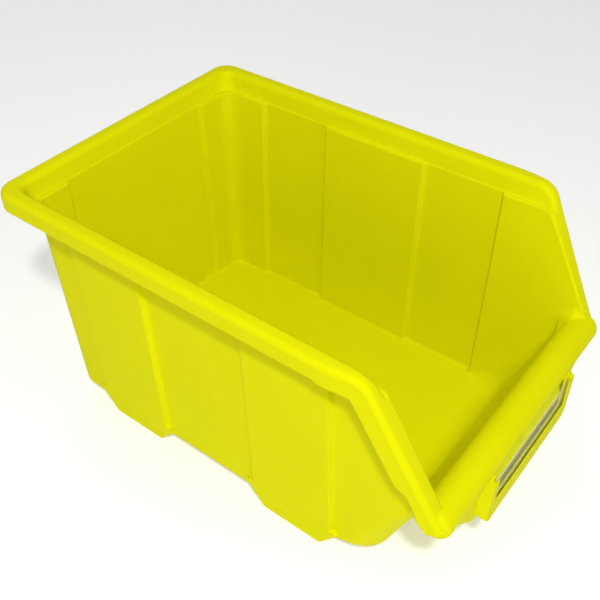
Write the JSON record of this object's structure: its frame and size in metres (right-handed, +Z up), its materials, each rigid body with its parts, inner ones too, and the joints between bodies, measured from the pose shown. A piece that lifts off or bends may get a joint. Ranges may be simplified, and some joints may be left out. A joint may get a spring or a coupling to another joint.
{
  "type": "stackable storage bin",
  "caption": "Open-fronted stackable storage bin with a hollow rim, a round front grip bar, panelled walls and a label holder with a slide-in clear cover.",
  "frame": {"origin": "on the ground plane, under the centre of the bin's bounding box", "axes": "+Z up, +X to the right seen from the front, the open front faces -Y"},
  "size_m": [0.16, 0.2424, 0.133],
  "materials": {
    "bin_plastic": "semi-gloss moulded polypropylene with a fine grain",
    "clear_plastic": "clear polished sheet",
    "card": "blank uncoated card"
  },
  "bodies": {
    "bin": {"bin_body": "bin_plastic", "label_card": "card"},
    "cover": {"label_cover": "clear_plastic"}
  },
  "joints": [
    {"name": "cover_slide", "type": "slide", "parent": "bin", "child": "cover", "axis": [0, 0, 1], "range_m": [0, 0.026]}
  ]
}
